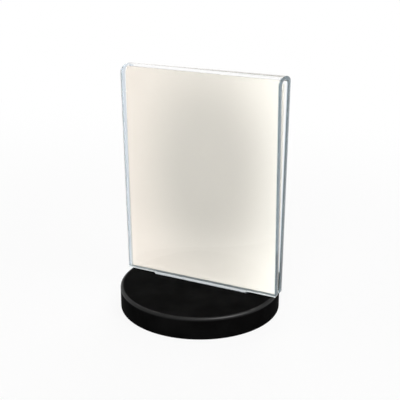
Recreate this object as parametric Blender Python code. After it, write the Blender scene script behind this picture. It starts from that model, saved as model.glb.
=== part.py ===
"""Counter-top sign stand: a clear acrylic sheet bent over a card, plugged into a weighted round base.

Metres, +Z up. The origin is on the floor under the middle of the base, and the sign faces -Y.
"""

import math

import bmesh
import bpy

MM = 0.001

# Sign card
CARD_WIDTH = 139.7 * MM
CARD_HEIGHT = 177.8 * MM
CARD_THICKNESS = 0.6 * MM

# Acrylic holder: one sheet bent double, its legs closing towards the base
SIDE_MARGIN = 0.65 * MM  # sheet past the card at each side
SHEET_THICKNESS = 6.0 * MM
BEND_INNER_RADIUS = 6.4 * MM
MOUTH_DEPTH = 14.5 * MM  # over both legs where they enter the base
TONGUE_WIDTH = 86.6 * MM
TONGUE_DEPTH = 10.5 * MM  # below the top of the base
SHOULDER_LIFT = 1.0 * MM  # shoulders clear of the top of the base
SHOULDER_FILLET = 1.6 * MM  # inside corner between shoulder and tongue

# Moulded base shell
BASE_DIAMETER = 137.0 * MM
EDGE_ROUND = 1.8 * MM
SIDE_WALL = 2.8 * MM
TOP_WALL = 3.0 * MM
REBATE_WIDTH = 1.2 * MM  # step in the side wall that the cover fits into
SLOT_SET_BACK = 5.4 * MM  # the slot lies behind the middle, so the card stands near the middle
SLOT_END_GAP = 3.4 * MM  # past the tongue at each end
SLOT_CORNER_RADIUS = 3.0 * MM
SLOT_EASE = 0.8 * MM  # sloped lip round the mouth of the slot
SOCKET_WALL = 2.2 * MM
SOCKET_FLOOR = 2.2 * MM
RIB_THICKNESS = 2.0 * MM
RIB_SPACING = 24.0 * MM
BOSS_DIAMETER = 7.5 * MM
BOSS_INSET = 1.5 * MM  # boss to the inside of the side wall

# Ballast, cover, screws and feet
BALLAST_THICKNESS = 2.8 * MM
BALLAST_EDGE = 0.4 * MM
COVER_THICKNESS = 2.0 * MM
SCREW_HEAD_DIAMETER = 5.6 * MM
SCREW_HEAD_HEIGHT = 1.7 * MM
SCREW_SHANK_DIAMETER = 2.9 * MM
SCREW_LENGTH = 9.0 * MM
SCREW_TIP = 1.2 * MM
DRIVE_WIDTH = 0.8 * MM  # cross recess in the screw head
DRIVE_LENGTH = 3.0 * MM
DRIVE_DEPTH = 1.0 * MM
FOOT_DIAMETER = 14.0 * MM
FOOT_RECESS = 1.0 * MM
FOOT_STANDOFF = 0.8 * MM
FOOT_EDGE = 0.3 * MM
FOOT_INSET = 6.7 * MM  # foot to the inside of the side wall

# Clearances and facets
SEAT_GAP = 0.3 * MM  # between pieces that rest on or in each other
BALLAST_CLEARANCE = 0.75 * MM  # ballast to the bosses that centre it
HOLE_RELIEF = 1.0 * MM  # pilot hole past the screw's tip
OVERCUT = 1.0 * MM  # cutters past the faces that they open
ROUND_SIDES = 96
SMALL_SIDES = 24
BEND_SIDES = 24
CORNER_SIDES = 5
SMOOTH_ANGLE = math.radians(35)

# Levels from the floor up, and radii from the middle out
shell_bottom = FOOT_STANDOFF
cover_top = shell_bottom + COVER_THICKNESS
ledge_level = cover_top + SEAT_GAP
ballast_top = ledge_level + BALLAST_THICKNESS
rib_level = ballast_top + SEAT_GAP
socket_level = rib_level + SOCKET_FLOOR
base_top = socket_level + SEAT_GAP + TONGUE_DEPTH
ceiling_level = base_top - TOP_WALL
base_radius = BASE_DIAMETER / 2
inner_radius = base_radius - SIDE_WALL
rebate_radius = inner_radius + REBATE_WIDTH
boss_ring = inner_radius - BOSS_INSET - BOSS_DIAMETER / 2
ballast_radius = boss_ring - BOSS_DIAMETER / 2 - BALLAST_CLEARANCE
foot_ring = inner_radius - FOOT_INSET - FOOT_DIAMETER / 2
holder_width = CARD_WIDTH + 2 * SIDE_MARGIN
slot_half_length = TONGUE_WIDTH / 2 + SLOT_END_GAP
slot_half_width = MOUTH_DEPTH / 2 + SEAT_GAP


def clear_scene():
    for obj in list(bpy.data.objects):
        bpy.data.objects.remove(obj, do_unlink=True)


def plastic(name, colour, roughness, metallic=0.0, transmission=0.0):
    material = bpy.data.materials.new(name)
    material.use_nodes = True
    shader = material.node_tree.nodes["Principled BSDF"]
    shader.inputs["Base Color"].default_value = (*colour, 1.0)
    shader.inputs["Roughness"].default_value = roughness
    shader.inputs["Metallic"].default_value = metallic
    shader.inputs["Transmission Weight"].default_value = transmission
    return material


def ring(radius, level, sides=ROUND_SIDES, centre=(0.0, 0.0)):
    """A circle of points about a vertical axis."""
    turns = [2 * math.pi * i / sides for i in range(sides)]
    return [(centre[0] + radius * math.cos(t), centre[1] + radius * math.sin(t), level) for t in turns]


def oblong(half_length, half_width, corner, level, centre_y):
    """A rounded rectangle of points, long side along X."""
    points = []
    for quarter, (side_x, side_y) in enumerate(((1, 1), (-1, 1), (-1, -1), (1, -1))):
        for i in range(CORNER_SIDES + 1):
            turn = math.pi / 2 * (quarter + i / CORNER_SIDES)
            x = side_x * (half_length - corner) + corner * math.cos(turn)
            y = side_y * (half_width - corner) + corner * math.sin(turn)
            points.append((x, centre_y + y, level))
    return points


def box_loops(low, high):
    """The bottom and top loops of a box between two corners."""
    corners = ((low[0], low[1]), (high[0], low[1]), (high[0], high[1]), (low[0], high[1]))
    return [[(x, y, level) for x, y in corners] for level in (low[2], high[2])]


def lofted(name, loops, material=None, parent=None, location=(0.0, 0.0, 0.0)):
    """A closed solid through loops of equal length, capped at both ends."""
    mesh = bpy.data.meshes.new(name)
    bm = bmesh.new()
    rows = [[bm.verts.new(point) for point in loop] for loop in loops]
    count = len(rows[0])
    for lower, upper in zip(rows, rows[1:]):
        for i in range(count):
            j = (i + 1) % count
            bm.faces.new((lower[i], lower[j], upper[j], upper[i]))
    bm.faces.new(rows[0][::-1])
    bm.faces.new(rows[-1])
    bmesh.ops.recalc_face_normals(bm, faces=bm.faces[:])
    bm.to_mesh(mesh)
    bm.free()
    mesh.shade_smooth()
    mesh.set_sharp_from_angle(angle=SMOOTH_ANGLE)
    obj = bpy.data.objects.new(name, mesh)
    bpy.context.collection.objects.link(obj)
    obj.parent = parent
    obj.location = location
    if material:
        mesh.materials.append(material)
    return obj


def combine(obj, name, loops, operation):
    """Joins a lofted helper to the object, or cuts it out of it."""
    tool = lofted(f"{obj.name}.{name}", loops, parent=obj)
    tool.hide_render = True
    tool.display_type = "WIRE"
    modifier = obj.modifiers.new(name, "BOOLEAN")
    modifier.operation = operation
    modifier.solver = "EXACT"
    modifier.object = tool


def round_the_stand(radius, start_degrees):
    """Four places a quarter turn apart."""
    turns = [math.radians(start_degrees + 90 * i) for i in range(4)]
    return [(radius * math.cos(t), radius * math.sin(t)) for t in turns]


def rib_reach(offset):
    """How far a rib this far off the middle runs before it is half-way into the side wall."""
    edge = abs(offset) + RIB_THICKNESS / 2
    return math.sqrt((inner_radius + SIDE_WALL / 2) ** 2 - edge**2)


def make_base_shell(material, stand):
    edge_steps = [math.pi / 2 * i / CORNER_SIDES for i in range(CORNER_SIDES + 1)]
    edge_centre = (base_radius - EDGE_ROUND, base_top - EDGE_ROUND)
    loops = [
        ring(inner_radius, ceiling_level),
        ring(inner_radius, ledge_level),
        ring(rebate_radius, ledge_level),
        ring(rebate_radius, shell_bottom),
        ring(base_radius, shell_bottom),
    ]
    for turn in edge_steps:
        radius = edge_centre[0] + EDGE_ROUND * math.cos(turn)
        loops.append(ring(radius, edge_centre[1] + EDGE_ROUND * math.sin(turn)))
    shell = lofted("base_shell", loops, material, stand)

    into_top = ceiling_level + TOP_WALL / 2
    socket = [
        oblong(
            slot_half_length + SOCKET_WALL,
            slot_half_width + SOCKET_WALL,
            SLOT_CORNER_RADIUS + SOCKET_WALL,
            level,
            SLOT_SET_BACK,
        )
        for level in (rib_level, into_top)
    ]
    combine(shell, "socket", socket, "UNION")
    half = RIB_THICKNESS / 2
    for i in (-1, 0, 1):
        offset = i * RIB_SPACING
        reach = rib_reach(offset)
        rib = box_loops((offset - half, -reach, rib_level), (offset + half, reach, into_top))
        combine(shell, f"cross_rib_{i + 2}", rib, "UNION")
    reach = rib_reach(SLOT_SET_BACK)
    low = (-reach, SLOT_SET_BACK - half, rib_level)
    combine(shell, "long_rib", box_loops(low, (reach, SLOT_SET_BACK + half, into_top)), "UNION")
    for i, place in enumerate(round_the_stand(boss_ring, 45), 1):
        boss = [ring(BOSS_DIAMETER / 2, level, SMALL_SIDES, place) for level in (ledge_level, into_top)]
        combine(shell, f"boss_{i}", boss, "UNION")

    mouth = base_top - SLOT_EASE
    flare = SLOT_EASE + OVERCUT
    slot = [
        oblong(slot_half_length, slot_half_width, SLOT_CORNER_RADIUS, socket_level, SLOT_SET_BACK),
        oblong(slot_half_length, slot_half_width, SLOT_CORNER_RADIUS, mouth, SLOT_SET_BACK),
        oblong(
            slot_half_length + flare,
            slot_half_width + flare,
            SLOT_CORNER_RADIUS + flare,
            base_top + OVERCUT,
            SLOT_SET_BACK,
        ),
    ]
    combine(shell, "slot", slot, "DIFFERENCE")
    hole_radius = SCREW_SHANK_DIAMETER / 2 + SEAT_GAP
    hole_top = shell_bottom + SCREW_LENGTH + HOLE_RELIEF
    for i, place in enumerate(round_the_stand(boss_ring, 45), 1):
        hole = [ring(hole_radius, level, SMALL_SIDES, place) for level in (ledge_level - OVERCUT, hole_top)]
        combine(shell, f"pilot_hole_{i}", hole, "DIFFERENCE")
    return shell


def make_ballast(material, stand):
    inset = ballast_radius - BALLAST_EDGE
    loops = [
        ring(inset, ledge_level),
        ring(ballast_radius, ledge_level + BALLAST_EDGE),
        ring(ballast_radius, ballast_top - BALLAST_EDGE),
        ring(inset, ballast_top),
    ]
    lofted("ballast_plate", loops, material, stand)


def make_cover(material, stand):
    radius = rebate_radius - SEAT_GAP
    cover = lofted("base_cover", [ring(radius, shell_bottom), ring(radius, cover_top)], material, stand)
    head = SCREW_HEAD_DIAMETER / 2 + SEAT_GAP
    shank = SCREW_SHANK_DIAMETER / 2 + SEAT_GAP
    profile = (
        (head, shell_bottom - OVERCUT),
        (head, shell_bottom),
        (shank, shell_bottom + SCREW_HEAD_HEIGHT),
        (shank, cover_top + OVERCUT),
    )
    for i, place in enumerate(round_the_stand(boss_ring, 45), 1):
        hole = [ring(r, level, SMALL_SIDES, place) for r, level in profile]
        combine(cover, f"screw_hole_{i}", hole, "DIFFERENCE")
    pocket_levels = (shell_bottom - OVERCUT, shell_bottom + FOOT_RECESS)
    for i, place in enumerate(round_the_stand(foot_ring, 0), 1):
        pocket = [ring(FOOT_DIAMETER / 2 + SEAT_GAP, level, SMALL_SIDES * 2, place) for level in pocket_levels]
        combine(cover, f"foot_recess_{i}", pocket, "DIFFERENCE")


def make_screws(material, stand):
    profile = (
        (SCREW_HEAD_DIAMETER / 2, 0.0),
        (SCREW_SHANK_DIAMETER / 2, SCREW_HEAD_HEIGHT),
        (SCREW_SHANK_DIAMETER / 2, SCREW_LENGTH - SCREW_TIP),
        (SCREW_SHANK_DIAMETER / 4, SCREW_LENGTH),
    )
    loops = [ring(radius, level, SMALL_SIDES) for radius, level in profile]
    corners = ("rear_right", "rear_left", "front_left", "front_right")
    arm, slit = DRIVE_LENGTH / 2, DRIVE_WIDTH / 2
    for corner, (x, y) in zip(corners, round_the_stand(boss_ring, 45)):
        screw = lofted(f"screw_{corner}", loops, material, stand, (x, y, shell_bottom))
        for name, half_x, half_y in (("drive_x", arm, slit), ("drive_y", slit, arm)):
            recess = box_loops((-half_x, -half_y, -OVERCUT), (half_x, half_y, DRIVE_DEPTH))
            combine(screw, name, recess, "DIFFERENCE")


def make_feet(material, stand):
    radius = FOOT_DIAMETER / 2
    top = FOOT_STANDOFF + FOOT_RECESS - SEAT_GAP
    profile = ((radius - FOOT_EDGE, 0.0), (radius, FOOT_EDGE), (radius, top))
    loops = [ring(r, level, SMALL_SIDES * 2) for r, level in profile]
    for side, (x, y) in zip(("right", "rear", "left", "front"), round_the_stand(foot_ring, 0)):
        lofted(f"foot_{side}", loops, material, stand, (x, y, 0.0))


def holder_outline():
    """The bent sheet seen along X as (y, z) points, from the top of the base at the slot's middle."""
    outer_radius = BEND_INNER_RADIUS + SHEET_THICKNESS
    bend_level = 2 * SEAT_GAP + CARD_HEIGHT - BEND_INNER_RADIUS
    half_mouth = MOUTH_DEPTH / 2
    lean = math.asin(outer_radius / math.hypot(half_mouth, bend_level)) - math.atan2(half_mouth, bend_level)
    outer_foot = half_mouth - TONGUE_DEPTH * math.tan(lean)
    inner_foot = outer_foot - SHEET_THICKNESS / math.cos(lean)
    sweep = math.pi + 2 * lean
    turns = [-lean + sweep * i / BEND_SIDES for i in range(BEND_SIDES + 1)]
    inner = [(BEND_INNER_RADIUS * math.cos(t), bend_level + BEND_INNER_RADIUS * math.sin(t)) for t in turns]
    outer = [(outer_radius * math.cos(t), bend_level + outer_radius * math.sin(t)) for t in turns]
    front_feet = [(-inner_foot, -TONGUE_DEPTH), (-outer_foot, -TONGUE_DEPTH)]
    rear_feet = [(outer_foot, -TONGUE_DEPTH), (inner_foot, -TONGUE_DEPTH)]
    return inner + front_feet + outer[::-1] + rear_feet


def shoulder_cut(side):
    """The corner cut away beside the tongue as (x, z) points, filleted where shoulder meets tongue."""
    reach = holder_width / 2 + OVERCUT
    depth = -TONGUE_DEPTH - OVERCUT
    inner = TONGUE_WIDTH / 2
    centre = (inner + SHOULDER_FILLET, SHOULDER_LIFT - SHOULDER_FILLET)
    turns = [math.pi - math.pi / 2 * i / CORNER_SIDES for i in range(CORNER_SIDES + 1)]
    fillet = [
        (centre[0] + SHOULDER_FILLET * math.cos(t), centre[1] + SHOULDER_FILLET * math.sin(t)) for t in turns
    ]
    return [(side * x, z) for x, z in [(inner, depth)] + fillet + [(reach, SHOULDER_LIFT), (reach, depth)]]


def make_holder(material, shell):
    outline = holder_outline()
    loops = [[(x, y, z) for y, z in outline] for x in (-holder_width / 2, holder_width / 2)]
    place = (0.0, SLOT_SET_BACK, base_top)
    holder = lofted("sign_holder", loops, material, shell, place)
    for name, side in (("left_shoulder", -1), ("right_shoulder", 1)):
        cut = [[(x, y, z) for x, z in shoulder_cut(side)] for y in (-MOUTH_DEPTH, MOUTH_DEPTH)]
        combine(holder, name, cut, "DIFFERENCE")
    return holder


def make_card(material, holder):
    low = (-CARD_WIDTH / 2, -CARD_THICKNESS / 2, 0.0)
    high = (CARD_WIDTH / 2, CARD_THICKNESS / 2, CARD_HEIGHT)
    lofted("sign_card", box_loops(low, high), material, holder, (0.0, 0.0, SEAT_GAP))


def main():
    clear_scene()
    stand = bpy.data.objects.new("stand", None)
    bpy.context.collection.objects.link(stand)
    black = plastic("black_moulded_plastic", (0.010, 0.010, 0.011), 0.42)
    dark = plastic("black_cover_plastic", (0.014, 0.014, 0.015), 0.60)
    steel = plastic("rolled_steel", (0.42, 0.43, 0.44), 0.45, metallic=1.0)
    zinc = plastic("zinc_plated_steel", (0.55, 0.56, 0.58), 0.32, metallic=1.0)
    rubber = plastic("black_rubber", (0.018, 0.018, 0.018), 0.85)
    acrylic = plastic("clear_acrylic", (0.93, 0.97, 0.98), 0.03, transmission=1.0)
    stock = plastic("cream_card_stock", (0.79, 0.75, 0.68), 0.80)
    shell = make_base_shell(black, stand)
    make_ballast(steel, stand)
    make_cover(dark, stand)
    make_screws(zinc, stand)
    make_feet(rubber, stand)
    holder = make_holder(acrylic, shell)
    make_card(stock, holder)
    bpy.context.view_layer.update()


main()
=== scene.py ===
import math

import bmesh
import bpy
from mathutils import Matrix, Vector


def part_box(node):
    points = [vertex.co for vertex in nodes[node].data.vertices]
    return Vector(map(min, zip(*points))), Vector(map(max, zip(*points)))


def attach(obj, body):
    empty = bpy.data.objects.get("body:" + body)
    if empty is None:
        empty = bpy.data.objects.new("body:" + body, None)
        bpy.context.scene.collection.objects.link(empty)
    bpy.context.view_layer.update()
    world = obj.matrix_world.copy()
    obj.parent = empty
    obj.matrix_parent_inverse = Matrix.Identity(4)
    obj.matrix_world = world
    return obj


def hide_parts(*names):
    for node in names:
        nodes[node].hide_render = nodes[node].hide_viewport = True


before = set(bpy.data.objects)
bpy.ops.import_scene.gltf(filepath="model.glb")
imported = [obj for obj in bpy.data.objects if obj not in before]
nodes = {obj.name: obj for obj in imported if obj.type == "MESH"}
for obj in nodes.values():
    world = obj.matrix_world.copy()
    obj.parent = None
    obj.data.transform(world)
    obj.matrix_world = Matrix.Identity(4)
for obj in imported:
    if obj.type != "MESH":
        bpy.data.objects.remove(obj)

mm = 0.001
scene = bpy.context.scene
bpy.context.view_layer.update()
noiseLow, noiseHigh = 0.3, 0.7  # most of a noise pattern lies between these
print("frame loaded:", len(nodes), "nodes")


def linear(hexColour):
    # sRGB hex to linear RGBA
    parts = [int(hexColour[i:i + 2], 16) / 255 for i in (1, 3, 5)]
    return tuple(c / 12.92 if c <= 0.04045 else ((c + 0.055) / 1.055) ** 2.4 for c in parts) + (1.0,)


def addNode(tree, kind, settings=None, links=None, **values):
    # settings are the node's properties, links go from socket to output,
    # and values are set on sockets, by name or by number as in _1
    node = tree.nodes.new(kind)
    for key, value in (settings or {}).items():
        setattr(node, key, value)
    for key, value in values.items():
        node.inputs[int(key[1:]) if key[1:].isdigit() else key.replace("_", " ")].default_value = value
    for key, source in (links or {}).items():
        tree.links.new(source, node.inputs[key])
    return node


def newMaterial(name):
    # an empty material with its output, ready for nodes
    material = bpy.data.materials.new(name)
    material.use_nodes = True
    material.node_tree.nodes.clear()
    output = addNode(material.node_tree, "ShaderNodeOutputMaterial")
    return material, material.node_tree, output


def dress(piece, *materials):
    # clearing the list resets each face's slot, so the slots are put back after it
    slots = [face.material_index for face in piece.data.polygons]
    piece.data.materials.clear()
    for material in materials:
        piece.data.materials.append(material)
    if len(materials) > 1:
        piece.data.polygons.foreach_set("material_index", slots)


# Camera at the photograph's viewing angle
cameraView = {
    "turn": 26.59,       # degrees round the stand from its front, towards its right side
    "distance": 0.6366,  # along the floor from the middle of the base
    "height": 0.315,
    "pitch": 17.43,      # degrees down
    "lens": 72.32,       # mm on a 36 mm sensor
    "shift": -0.06,      # share of the frame
}


def makeCamera(view):
    data = bpy.data.cameras.new("camera")
    data.sensor_width = 36.0
    data.lens = view["lens"]
    data.shift_y = view["shift"]
    camera = bpy.data.objects.new("camera", data)
    turn, pitch = math.radians(view["turn"]), math.radians(view["pitch"])
    ahead = Vector((-math.sin(turn), math.cos(turn), 0.0))
    camera.location = -ahead * view["distance"] + Vector((0.0, 0.0, view["height"]))
    aim = ahead * math.cos(pitch) - Vector((0.0, 0.0, math.sin(pitch)))
    camera.rotation_euler = aim.to_track_quat("-Z", "Y").to_euler()
    scene.collection.objects.link(camera)
    scene.camera = camera


makeCamera(cameraView)
print("camera placed")


# Clear sheet, bent double: finer than the solid, with flame-polished edges
holderSize = {
    "sheet": 6.0 * mm,
    "bendRise": 5.6 * mm,      # height of the outer curve over the straight legs
    "hollowRise": 4.6 * mm,    # the same for the hollow under it
    "crown": 2.8 * mm,         # what is left of the sheet over the hollow, drawn thin by the bending
    "mouth": 14.5 * mm,        # over both legs at the top of the base
    "tongueWidth": 86.6 * mm,
    "shoulderLift": 1.0 * mm,
    "shoulderFillet": 1.6 * mm,
    "sandedFoot": 1.9 * mm,    # above the top of the base
    "polish": 0.45 * mm,       # radius that the flame leaves on the cut edges
    "polishSteps": 3,
    "bendSteps": 48,
    "filletSteps": 6,
    "sawSpare": 2.0 * mm,      # how far the saw cuts run past the sheet
    "crease": 40.0,            # degrees: edges sharper than this stay sharp
}


def holderOutline(size, bendHalf, apex, foot, baseTop, inset):
    # the sheet seen along X as (y, z), drawn in by inset all round
    outerLevel = apex - size["bendRise"]
    innerLevel = apex - size["crown"] - size["hollowRise"]
    lean = (bendHalf - size["mouth"] / 2) / (outerLevel - baseTop)
    innerHalf = bendHalf - (outerLevel - innerLevel) * lean - size["sheet"]
    curves = (
        (innerHalf + inset, size["hollowRise"] + inset, innerLevel, 1),
        (bendHalf - inset, size["bendRise"] - inset, outerLevel, -1),
    )
    sweep = [math.pi * i / size["bendSteps"] for i in range(size["bendSteps"] + 1)]
    footLevel = foot + inset
    points = []
    for half, rise, level, order in curves:
        arc = [(half * math.cos(t), level + rise * math.sin(t)) for t in sweep]
        reach = half - (level - footLevel) * lean
        run = [(reach, footLevel)] + arc + [(-reach, footLevel)]
        points += run[::order]
    return points


def loft(name, loops):
    mesh = bpy.data.meshes.new(name)
    bm = bmesh.new()
    rows = [[bm.verts.new(point) for point in loop] for loop in loops]
    count = len(rows[0])
    for lower, upper in zip(rows, rows[1:]):
        for i in range(count):
            j = (i + 1) % count
            bm.faces.new((lower[i], lower[j], upper[j], upper[i]))
    bm.faces.new(rows[0][::-1])
    bm.faces.new(rows[-1])
    bmesh.ops.recalc_face_normals(bm, faces=bm.faces[:])
    bm.to_mesh(mesh)
    bm.free()
    piece = bpy.data.objects.new(name, mesh)
    scene.collection.objects.link(piece)
    return piece


def shoulderOutline(size, side, halfWidth, baseTop, foot):
    # the corner sawn away beside the tongue, as (x, z)
    inner = size["tongueWidth"] / 2
    outer = halfWidth + size["sawSpare"]
    below = foot - size["sawSpare"]
    fillet = size["shoulderFillet"]
    top = baseTop + size["shoulderLift"]
    arc = []
    for i in range(size["filletSteps"] + 1):
        turn = math.pi - math.pi / 2 * i / size["filletSteps"]
        arc.append((inner + fillet + fillet * math.cos(turn), top - fillet + fillet * math.sin(turn)))
    outline = [(inner, below)] + arc + [(outer, top), (outer, below)]
    return [(side * x, z) for x, z in outline]


def makeHolder(size):
    low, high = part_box("sign_holder")
    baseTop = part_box("base_shell")[1].z
    halfWidth = (high.x - low.x) / 2
    middle = (low.y + high.y) / 2
    radius = size["polish"]
    edge = [math.pi / 2 * i / size["polishSteps"] for i in range(size["polishSteps"] + 1)]
    left = [(-halfWidth + radius * (1 - math.sin(t)), radius * (1 - math.cos(t))) for t in edge[::-1]]
    sections = left + [(-x, inset) for x, inset in left[::-1]]
    loops = []
    for x, inset in sections:
        outline = holderOutline(size, (high.y - low.y) / 2, high.z, low.z, baseTop, inset)
        loops.append([(x, middle + y, z) for y, z in outline])
    holder = loft("polished_holder", loops)
    for name, side in (("left_saw_cut", -1), ("right_saw_cut", 1)):
        outline = shoulderOutline(size, side, halfWidth, baseTop, low.z)
        reach = size["mouth"]
        cutter = loft(name, [[(x, middle + y, z) for x, z in outline] for y in (-reach, reach)])
        cut = holder.modifiers.new(name, "BOOLEAN")
        cut.operation = "DIFFERENCE"
        cut.solver = "EXACT"
        cut.object = cutter
        bpy.context.view_layer.objects.active = holder
        bpy.ops.object.modifier_apply(modifier=name)
        bpy.data.objects.remove(cutter)
    holder.data.shade_smooth()
    holder.data.set_sharp_from_angle(angle=math.radians(size["crease"]))
    sortFaces(holder, baseTop + size["sandedFoot"], halfWidth - radius)
    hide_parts("sign_holder")
    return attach(holder, "holder")


def sortFaces(holder, footTop, edgeStart):
    # slot 0 polished faces, slot 1 cut edges, slot 2 sanded foot
    bm = bmesh.new()
    bm.from_mesh(holder.data)
    everything = bm.verts[:] + bm.edges[:] + bm.faces[:]
    bmesh.ops.bisect_plane(bm, geom=everything, plane_co=(0, 0, footTop), plane_no=(0, 0, 1))
    for face in bm.faces:
        middle = face.calc_center_median()
        if middle.z < footTop:
            face.material_index = 2
        elif abs(middle.x) > edgeStart:
            face.material_index = 1
    bm.to_mesh(holder.data)
    bm.free()


holder = makeHolder(holderSize)
print("holder bent")


# Cast acrylic sheet: glossy, colourless but for a little blue by its ends, faint wipe marks
acrylicLook = {
    "clear": "#ffffff",
    "ior": 1.49,
    "roughness": (0.0, 0.012),
    "wipeMarks": 9 * mm,
    "bounces": 3,                       # after more than these, light goes straight on
    "specularTint": "#9f9f9f",          # weakens the room's reflection
    "endBlue": "#b4c0cc",
    "endMargin": (3.2 * mm, 2.2 * mm),  # from the ends: where the blue begins and where it is full
}
# Its cut edges, flame-polished: light runs along the sheet and leaves them blue-grey
edgeLook = {
    "pale": "#576d7a",
    "deep": "#475d68",
    "within": "#bccddc",            # painted light: the pale tone seen from inside the sheet, for the bright room behind
    "transmission": 0.5,
    "roughness": (0.12, 0.26),
    "marks": (30 * mm, 1.5 * mm),   # saw marks: real ones lie about 0.5 mm apart, drawn coarser to show
    "markHeight": 0.03 * mm,
}
# Its foot, sanded to slide into the base: hazy grey, fine scratches, with painted shade towards the gap
# between the legs
footLook = {
    "pale": "#e2e7e9",
    "deep": "#8a9294",
    "transmission": 0.12,
    "roughness": (0.4, 0.55),
    "marks": (12 * mm, 0.5 * mm),   # scratches: real ones are finer, drawn coarser to show
    "markHeight": 0.015 * mm,
    "inside": (2 * mm, 6 * mm),     # painted shade: from the middle of the gap, darkest up to here, palest past there
    "insideShift": 0.25,            # how far that moves the tone either way
}


def castAcrylic(look):
    material, tree, output = newMaterial("cast_acrylic_polished")
    place = addNode(tree, "ShaderNodeTexCoord")
    wipe = addNode(tree, "ShaderNodeTexNoise", links={"Vector": place.outputs["Object"]},
                   Scale=1 / look["wipeMarks"], Detail=3.0)
    gloss = addNode(tree, "ShaderNodeMapRange", links={"Value": wipe.outputs["Fac"]},
                    To_Min=look["roughness"][0], To_Max=look["roughness"][1])
    # by its ends the sheet takes on some of their blue, for light on its way out
    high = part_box("sign_holder")[1]
    begin, full = look["endMargin"]
    spot = addNode(tree, "ShaderNodeSeparateXYZ", links={"Vector": place.outputs["Object"]})
    side = addNode(tree, "ShaderNodeMath", {"operation": "ABSOLUTE"}, {0: spot.outputs["X"]})
    margin = addNode(tree, "ShaderNodeMapRange", {"interpolation_type": "SMOOTHSTEP"},
                     {"Value": side.outputs["Value"]},
                     From_Min=high.x - begin, From_Max=high.x - full)
    face = addNode(tree, "ShaderNodeNewGeometry")
    leaving = addNode(tree, "ShaderNodeMath", {"operation": "MULTIPLY"},
                      {0: margin.outputs["Result"], 1: face.outputs["Backfacing"]})
    tint = addNode(tree, "ShaderNodeMix", {"data_type": "RGBA"}, {0: leaving.outputs["Value"]},
                   _6=linear(look["clear"]), _7=linear(look["endBlue"]))
    shader = addNode(tree, "ShaderNodeBsdfPrincipled",
                     links={"Base Color": tint.outputs[2], "Roughness": gloss.outputs["Result"]},
                     IOR=look["ior"], Transmission_Weight=1.0,
                     Specular_Tint=linear(look["specularTint"]))
    # light for what stands behind the sheet passes straight through,
    # and so does light that has run about inside it for long
    path = addNode(tree, "ShaderNodeLightPath")
    lit = addNode(tree, "ShaderNodeMath", {"operation": "MAXIMUM"},
                  {0: path.outputs["Is Shadow Ray"], 1: path.outputs["Is Diffuse Ray"]})
    late = addNode(tree, "ShaderNodeMath", {"operation": "GREATER_THAN"},
                   {0: path.outputs["Ray Depth"]}, _1=look["bounces"])
    passing = addNode(tree, "ShaderNodeMath", {"operation": "MAXIMUM"},
                      {0: lit.outputs["Value"], 1: late.outputs["Value"]})
    clear = addNode(tree, "ShaderNodeBsdfTransparent", Color=linear(look["clear"]))
    mix = addNode(tree, "ShaderNodeMixShader",
                  links={0: passing.outputs["Value"], 1: shader.outputs["BSDF"],
                         2: clear.outputs["BSDF"]})
    tree.links.new(mix.outputs["Shader"], output.inputs["Surface"])
    return material


def workedAcrylic(name, look):
    material, tree, output = newMaterial(name)
    place = addNode(tree, "ShaderNodeTexCoord")
    along, apart = look["marks"]
    stretch = addNode(tree, "ShaderNodeVectorMath", {"operation": "MULTIPLY"},
                      {0: place.outputs["Object"]}, _1=(1 / along, 1 / along, 1 / apart))
    marks = addNode(tree, "ShaderNodeTexNoise", links={"Vector": stretch.outputs["Vector"]},
                    Scale=1.0, Detail=3.0)
    shade = marks.outputs["Fac"]
    if "inside" in look:
        # painted shade: dark towards the gap between the legs, pale on the outer faces
        low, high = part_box("sign_holder")
        spot = addNode(tree, "ShaderNodeSeparateXYZ", links={"Vector": place.outputs["Object"]})
        offset = addNode(tree, "ShaderNodeMath", {"operation": "SUBTRACT"},
                         {0: spot.outputs["Y"]}, _1=(low.y + high.y) / 2)
        out = addNode(tree, "ShaderNodeMath", {"operation": "ABSOLUTE"}, {0: offset.outputs["Value"]})
        reach = addNode(tree, "ShaderNodeMapRange", links={"Value": out.outputs["Value"]},
                        From_Min=look["inside"][0], From_Max=look["inside"][1],
                        To_Min=-look["insideShift"], To_Max=look["insideShift"])
        shade = addNode(tree, "ShaderNodeMath", {"operation": "ADD"},
                        {0: shade, 1: reach.outputs["Result"]}).outputs["Value"]
    spread = addNode(tree, "ShaderNodeMapRange", links={"Value": shade},
                     From_Min=noiseLow, From_Max=noiseHigh)
    tone = addNode(tree, "ShaderNodeMix", {"data_type": "RGBA"}, {0: spread.outputs["Result"]},
                   _6=linear(look["deep"]), _7=linear(look["pale"])).outputs[2]
    # painted light: faces seen from inside the sheet take the pale tone of the room behind
    if "within" in look:
        face = addNode(tree, "ShaderNodeNewGeometry")
        tone = addNode(tree, "ShaderNodeMix", {"data_type": "RGBA"},
                       {0: face.outputs["Backfacing"], 6: tone}, _7=linear(look["within"])).outputs[2]
    gloss = addNode(tree, "ShaderNodeMapRange", links={"Value": marks.outputs["Fac"]},
                    To_Min=look["roughness"][0], To_Max=look["roughness"][1])
    bump = addNode(tree, "ShaderNodeBump", links={"Height": marks.outputs["Fac"]},
                   Strength=0.5, Distance=look["markHeight"])
    shader = addNode(tree, "ShaderNodeBsdfPrincipled",
                     links={"Base Color": tone, "Roughness": gloss.outputs["Result"],
                            "Normal": bump.outputs["Normal"]},
                     IOR=acrylicLook["ior"], Transmission_Weight=look["transmission"])
    tree.links.new(shader.outputs["BSDF"], output.inputs["Surface"])
    return material


dress(holder, castAcrylic(acrylicLook),
      workedAcrylic("cast_acrylic_flamed_edge", edgeLook),
      workedAcrylic("cast_acrylic_sanded_foot", footLook))


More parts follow.
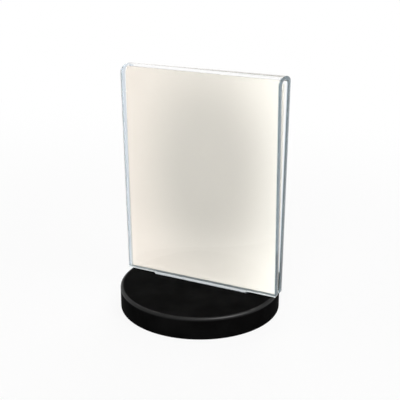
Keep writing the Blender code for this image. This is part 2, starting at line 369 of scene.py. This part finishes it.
# Uncoated card stock, printed with a soft grey bloom: matt, faintly fibrous, cream at the edges
cardLook = {
    "left": "#d6cec4",
    "right": "#eae7de",
    "bloom": "#b7b4ac",
    "bloomCentre": (5 * mm, 13 * mm),   # from the middle of the card
    "bloomReach": (83 * mm, 134 * mm),
    "bloomFull": 0.76,                  # share of the way in from the reach where the bloom is full
    "paintedFootLight": 1.18,                  # painted light: lighter towards the bottom edge, fading out upwards, for light that the black base takes away
    "footReach": 68 * mm,
    "roughness": 0.85,
    "ior": 1.5,
    "fibre": 0.9 * mm,                  # real fibres are finer, drawn coarser to show
    "fibreHeight": 0.02 * mm,
    "mottle": (0.985, 1.015),           # tone of the fibres, lowest and highest
}


def cardStock(look):
    low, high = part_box("sign_card")
    middle = (low + high) / 2
    material, tree, output = newMaterial("uncoated_card_stock")
    place = addNode(tree, "ShaderNodeTexCoord")
    across, up = look["bloomReach"]
    centre = (middle.x + look["bloomCentre"][0], middle.y, middle.z + look["bloomCentre"][1])
    shifted = addNode(tree, "ShaderNodeVectorMath", {"operation": "SUBTRACT"},
                      {0: place.outputs["Object"]}, _1=centre)
    scaled = addNode(tree, "ShaderNodeVectorMath", {"operation": "MULTIPLY"},
                     {0: shifted.outputs["Vector"]}, _1=(1 / across, 0.0, 1 / up))
    bloom = addNode(tree, "ShaderNodeTexGradient", {"gradient_type": "SPHERICAL"},
                    {"Vector": scaled.outputs["Vector"]})
    strength = addNode(tree, "ShaderNodeMapRange", {"interpolation_type": "SMOOTHSTEP"},
                       {"Value": bloom.outputs["Fac"]}, From_Max=look["bloomFull"])
    spot = addNode(tree, "ShaderNodeSeparateXYZ", links={"Vector": place.outputs["Object"]})
    side = addNode(tree, "ShaderNodeMapRange", links={"Value": spot.outputs["X"]},
                   From_Min=low.x, From_Max=high.x)
    paper = addNode(tree, "ShaderNodeMix", {"data_type": "RGBA"}, {0: side.outputs["Result"]},
                    _6=linear(look["left"]), _7=linear(look["right"]))
    tone = addNode(tree, "ShaderNodeMix", {"data_type": "RGBA"},
                   {0: strength.outputs["Result"], 6: paper.outputs[2]}, _7=linear(look["bloom"]))
    fibre = addNode(tree, "ShaderNodeTexNoise", links={"Vector": place.outputs["Object"]},
                    Scale=1 / look["fibre"], Detail=4.0, Roughness=0.6)
    mottle = addNode(tree, "ShaderNodeMapRange", links={"Value": fibre.outputs["Fac"]},
                     To_Min=look["mottle"][0], To_Max=look["mottle"][1])
    # painted light: the card's colour is raised towards its bottom edge
    foot = addNode(tree, "ShaderNodeMapRange", {"interpolation_type": "SMOOTHSTEP"},
                   {"Value": spot.outputs["Z"]},
                   From_Min=low.z, From_Max=low.z + look["footReach"], To_Min=look["paintedFootLight"])
    both = addNode(tree, "ShaderNodeMath", {"operation": "MULTIPLY"},
                   {0: mottle.outputs["Result"], 1: foot.outputs["Result"]})
    colour = addNode(tree, "ShaderNodeVectorMath", {"operation": "SCALE"},
                     {0: tone.outputs[2], "Scale": both.outputs["Value"]})
    bump = addNode(tree, "ShaderNodeBump", links={"Height": fibre.outputs["Fac"]},
                   Strength=0.4, Distance=look["fibreHeight"])
    shader = addNode(tree, "ShaderNodeBsdfPrincipled",
                     links={"Base Color": colour.outputs["Vector"], "Normal": bump.outputs["Normal"]},
                     Roughness=look["roughness"], IOR=look["ior"])
    tree.links.new(shader.outputs["BSDF"], output.inputs["Surface"])
    return material


dress(nodes["sign_card"], cardStock(cardLook))
print("holder and card finished")


# Moulded ABS, spark-eroded mould: near black, satin, a fine even grain
baseLook = {
    "dark": "#0a0a0a",
    "pale": "#171717",
    "roughness": (0.52, 0.62),
    "specular": 0.002,
    "ior": 1.54,
    "cloud": 22 * mm,           # slow change of tone
    "grain": 0.7 * mm,          # real grain is about 0.1 mm, drawn coarser to show
    "grainHeight": 0.012 * mm,
}
# Its rounded rim: greyer as a painted highlight, and glossier, fading into the grain; the wall below
# gets painted shade
rimHighlightAndWallShade = {
    "tone": "#141414",
    "roughness": 0.42,
    "specular": 0.16,
    "edgeRound": 1.8 * mm,
    "reach": 1.9 * mm,          # how far the painted highlight fades, over the round and the top
    "paintedWallShade": 0.4,           # painted shade: the wall and the underside are drawn blacker than the top
    "wallEnd": 0.7,             # how far a face has to look up, from 0 to 1, to lose that
}
# Matt ABS for the cover, and rubber: no gloss, a coarser and a finer grain
coverLook = dict(baseLook, dark="#101011", pale="#19191a", roughness=(0.6, 0.72),
                 grain=0.9 * mm, grainHeight=0.03 * mm)
rubberLook = dict(baseLook, dark="#151515", pale="#1d1d1d", roughness=(0.8, 0.92),
                  specular=0.3, ior=1.52, grain=0.5 * mm)


def rimHighlightMask(tree, place, rim):
    # 1 on the crest of the rounded rim, where radius plus height is greatest, less on both sides: where
    # the highlight is painted
    low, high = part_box("base_shell")
    crest = (high.x - low.x) / 2 + high.z - rim["edgeRound"] * (2 - math.sqrt(2))
    spot = addNode(tree, "ShaderNodeSeparateXYZ", links={"Vector": place})
    flat = addNode(tree, "ShaderNodeVectorMath", {"operation": "MULTIPLY"},
                   {0: place}, _1=(1, 1, 0))
    radius = addNode(tree, "ShaderNodeVectorMath", {"operation": "LENGTH"},
                     {0: flat.outputs["Vector"]})
    both = addNode(tree, "ShaderNodeMath", {"operation": "ADD"},
                   {0: radius.outputs["Value"], 1: spot.outputs["Z"]})
    return addNode(tree, "ShaderNodeMapRange", {"interpolation_type": "SMOOTHSTEP"},
                   {"Value": both.outputs["Value"]},
                   From_Min=crest - rim["reach"], From_Max=crest).outputs["Result"]


def mouldedPlastic(name, look, rim=None):
    material, tree, output = newMaterial(name)
    place = addNode(tree, "ShaderNodeTexCoord").outputs["Object"]
    cloud = addNode(tree, "ShaderNodeTexNoise", links={"Vector": place},
                    Scale=1 / look["cloud"], Detail=3.0)
    spread = addNode(tree, "ShaderNodeMapRange", links={"Value": cloud.outputs["Fac"]},
                     From_Min=noiseLow, From_Max=noiseHigh)
    tone = addNode(tree, "ShaderNodeMix", {"data_type": "RGBA"}, {0: spread.outputs["Result"]},
                   _6=linear(look["dark"]), _7=linear(look["pale"])).outputs[2]
    sheen = addNode(tree, "ShaderNodeMapRange", links={"Value": cloud.outputs["Fac"]},
                    To_Min=look["roughness"][0], To_Max=look["roughness"][1])
    grain = addNode(tree, "ShaderNodeTexNoise", links={"Vector": place},
                    Scale=1 / look["grain"], Detail=2.0)
    bump = addNode(tree, "ShaderNodeBump", links={"Height": grain.outputs["Fac"]},
                   Strength=0.5, Distance=look["grainHeight"])
    shader = addNode(tree, "ShaderNodeBsdfPrincipled",
                     links={"Base Color": tone, "Roughness": sheen.outputs["Result"],
                            "Normal": bump.outputs["Normal"]},
                     IOR=look["ior"], Specular_IOR_Level=look["specular"])
    if rim:
        # painted highlight: towards the crest of the rim the tone turns greyer, and the gloss rises
        highlightShare = rimHighlightMask(tree, place, rim)
        highlightTone = addNode(tree, "ShaderNodeMix", {"data_type": "RGBA"},
                             {0: highlightShare, 6: tone}, _7=linear(rim["tone"]))
        rimRoughness = addNode(tree, "ShaderNodeMix", links={0: highlightShare, 2: sheen.outputs["Result"]},
                              _3=rim["roughness"])
        shine = addNode(tree, "ShaderNodeMapRange", links={"Value": highlightShare},
                        To_Min=look["specular"], To_Max=rim["specular"])
        # painted shade: faces that look sideways or down are drawn darker than the top
        face = addNode(tree, "ShaderNodeNewGeometry")
        facing = addNode(tree, "ShaderNodeSeparateXYZ", links={"Vector": face.outputs["Normal"]})
        level = addNode(tree, "ShaderNodeMapRange", links={"Value": facing.outputs["Z"]},
                        From_Max=rim["wallEnd"], To_Min=rim["paintedWallShade"])
        shaded = addNode(tree, "ShaderNodeVectorMath", {"operation": "SCALE"},
                         {0: highlightTone.outputs[2], "Scale": level.outputs["Result"]})
        tree.links.new(shaded.outputs["Vector"], shader.inputs["Base Color"])
        tree.links.new(rimRoughness.outputs[0], shader.inputs["Roughness"])
        tree.links.new(shine.outputs["Result"], shader.inputs["Specular IOR Level"])
    tree.links.new(shader.outputs["BSDF"], output.inputs["Surface"])
    return material


# Rolled and zinc-plated steel: grey, faint rolling streaks, soft shine
steelLook = {
    "dark": "#8b8d90",
    "pale": "#a9abae",
    "roughness": (0.35, 0.5),
    "streak": (30 * mm, 0.8 * mm),
}
zincLook = {
    "dark": "#a3a7ab",
    "pale": "#c3c7cc",
    "roughness": (0.22, 0.36),
    "streak": (1.5 * mm, 0.3 * mm),
}


def platedSteel(name, look):
    material, tree, output = newMaterial(name)
    place = addNode(tree, "ShaderNodeTexCoord")
    along, across = look["streak"]
    stretch = addNode(tree, "ShaderNodeVectorMath", {"operation": "MULTIPLY"},
                      {0: place.outputs["Object"]}, _1=(1 / along, 1 / across, 1 / across))
    streak = addNode(tree, "ShaderNodeTexNoise", links={"Vector": stretch.outputs["Vector"]},
                     Scale=1.0, Detail=4.0)
    spread = addNode(tree, "ShaderNodeMapRange", links={"Value": streak.outputs["Fac"]},
                     From_Min=noiseLow, From_Max=noiseHigh)
    tone = addNode(tree, "ShaderNodeMix", {"data_type": "RGBA"}, {0: spread.outputs["Result"]},
                   _6=linear(look["dark"]), _7=linear(look["pale"]))
    sheen = addNode(tree, "ShaderNodeMapRange", links={"Value": streak.outputs["Fac"]},
                    To_Min=look["roughness"][0], To_Max=look["roughness"][1])
    shader = addNode(tree, "ShaderNodeBsdfPrincipled",
                     links={"Base Color": tone.outputs[2], "Roughness": sheen.outputs["Result"]},
                     Metallic=1.0)
    tree.links.new(shader.outputs["BSDF"], output.inputs["Surface"])
    return material


# Round pieces of the base, shaded smooth: the solids are faceted
softPieces = {
    "moulded_shell": ("base_shell", "base_plastic"),
    "moulded_cover": ("base_cover", "cover_plastic"),
}
for side in ("front", "rear", "left", "right"):
    softPieces["rubber_pad_" + side] = ("foot_" + side, "foot_rubber")
for corner in ("front_left", "front_right", "rear_left", "rear_right"):
    softPieces["cover_screw_" + corner] = ("screw_" + corner, "screw_steel")
weldDistance = 0.001 * mm
creaseAngle = math.radians(35)


def soften(name, node):
    # a copy with its facets joined, smooth but for true corners
    mesh = bpy.data.meshes.new(name)
    bm = bmesh.new()
    bm.from_mesh(nodes[node].data)
    bmesh.ops.remove_doubles(bm, verts=bm.verts[:], dist=weldDistance)
    bm.to_mesh(mesh)
    bm.free()
    mesh.shade_smooth()
    mesh.set_sharp_from_angle(angle=creaseAngle)
    piece = bpy.data.objects.new(name, mesh)
    scene.collection.objects.link(piece)
    flats = piece.modifiers.new("flats", "WEIGHTED_NORMAL")  # keeps the large flats flat
    flats.keep_sharp = True
    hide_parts(node)
    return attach(piece, "base")


def dressBase():
    finishes = {
        "base_plastic": mouldedPlastic("moulded_abs_black", baseLook, rimHighlightAndWallShade),
        "cover_plastic": mouldedPlastic("moulded_abs_matt", coverLook),
        "foot_rubber": mouldedPlastic("moulded_rubber", rubberLook),
        "screw_steel": platedSteel("zinc_plated_steel", zincLook),
    }
    for name, (node, slot) in softPieces.items():
        dress(soften(name, node), finishes[slot])
    dress(nodes["ballast_plate"], platedSteel("rolled_steel", steelLook))


dressBase()
print("base finished")


# Studio: pale floor, white surroundings, soft boxes
studio = {
    "floorSize": 12.0,
    "floor": "#fafafa",
    "floorGlow": 0.9,         # share of plain white that the eye gets from the floor by the stand
    "glowReach": (0.2, 0.9),  # from the stand: the floor is all white past the second
    "ambient": 0.15,
    # each box: place, aim, size, watts, and whether it only shows in reflections
    # or only lights what is matt
    "boxes": {
        "front_box": ((0.25, -1.2, 0.27), (0.0, 0.0, 0.08), 0.5, 13.4, False),
        "back_box": ((-0.3, 1.3, 0.5), (0.0, 0.0, 0.08), 0.8, 11.0, False),
        "fill_box": ((-1.5, -0.5, 1.0), (0.0, 0.0, 0.09), 1.2, 3.5, False),
        "key_box": ((1.1, -0.25, 1.65), (0.0, 0.0, 0.05), 0.8, 10.0, False),
        "gleam_box": ((1.1, -0.25, 1.65), (0.0, 0.0, 0.05), 0.9, 95.0, True),
    },
}


def seenDirectly(tree):
    # 1 for rays that look at the surroundings: straight, in a reflection or through the clear sheet
    path = addNode(tree, "ShaderNodeLightPath")
    first = addNode(tree, "ShaderNodeMath", {"operation": "MAXIMUM"},
                    {0: path.outputs["Is Camera Ray"], 1: path.outputs["Is Glossy Ray"]})
    return addNode(tree, "ShaderNodeMath", {"operation": "MAXIMUM"},
                   {0: first.outputs["Value"], 1: path.outputs["Is Transmission Ray"]}).outputs["Value"]


def makeFloor(settings):
    half = settings["floorSize"] / 2
    mesh = bpy.data.meshes.new("floor")
    corners = [(-half, -half, 0), (half, -half, 0), (half, half, 0), (-half, half, 0)]
    mesh.from_pydata(corners, [], [(0, 1, 2, 3)])
    floor = bpy.data.objects.new("floor", mesh)
    scene.collection.objects.link(floor)
    material, tree, output = newMaterial("pale_studio_floor")
    lit = addNode(tree, "ShaderNodeBsdfDiffuse", Color=linear(settings["floor"]))
    glow = addNode(tree, "ShaderNodeEmission", Strength=1.0)
    place = addNode(tree, "ShaderNodeTexCoord")
    away = addNode(tree, "ShaderNodeVectorMath", {"operation": "LENGTH"},
                   {0: place.outputs["Object"]})
    near, far = settings["glowReach"]
    bright = addNode(tree, "ShaderNodeMapRange", {"interpolation_type": "SMOOTHSTEP"},
                     {"Value": away.outputs["Value"]},
                     From_Min=near, From_Max=far, To_Min=settings["floorGlow"], To_Max=1.0)
    share = addNode(tree, "ShaderNodeMath", {"operation": "MULTIPLY"},
                    {0: seenDirectly(tree), 1: bright.outputs["Result"]})
    mix = addNode(tree, "ShaderNodeMixShader", links={"Fac": share.outputs["Value"]})
    tree.links.new(lit.outputs["BSDF"], mix.inputs[1])
    tree.links.new(glow.outputs["Emission"], mix.inputs[2])
    tree.links.new(mix.outputs["Shader"], output.inputs["Surface"])
    dress(floor, material)


def makeWorld(settings):
    world = bpy.data.worlds.new("studio")
    scene.world = world
    world.use_nodes = True
    tree = world.node_tree
    tree.nodes.clear()
    soft = addNode(tree, "ShaderNodeBackground", Color=(1, 1, 1, 1), Strength=settings["ambient"])
    white = addNode(tree, "ShaderNodeBackground", Color=(1, 1, 1, 1), Strength=1.0)
    mix = addNode(tree, "ShaderNodeMixShader", links={"Fac": seenDirectly(tree)})
    tree.links.new(soft.outputs["Background"], mix.inputs[1])
    tree.links.new(white.outputs["Background"], mix.inputs[2])
    output = addNode(tree, "ShaderNodeOutputWorld")
    tree.links.new(mix.outputs["Shader"], output.inputs["Surface"])


def makeBoxes(settings):
    for name, (place, aim, size, watts, gleam) in settings["boxes"].items():
        data = bpy.data.lights.new(name, "AREA")
        data.size = size
        data.energy = watts
        box = bpy.data.objects.new(name, data)
        box.location = place
        box.rotation_euler = (Vector(aim) - Vector(place)).to_track_quat("-Z", "Y").to_euler()
        box.visible_camera = False
        box.visible_transmission = False
        box.visible_glossy = gleam
        box.visible_diffuse = not gleam
        scene.collection.objects.link(box)


makeFloor(studio)
makeWorld(studio)
makeBoxes(studio)
scene.view_settings.view_transform = "Standard"
print("studio lit")
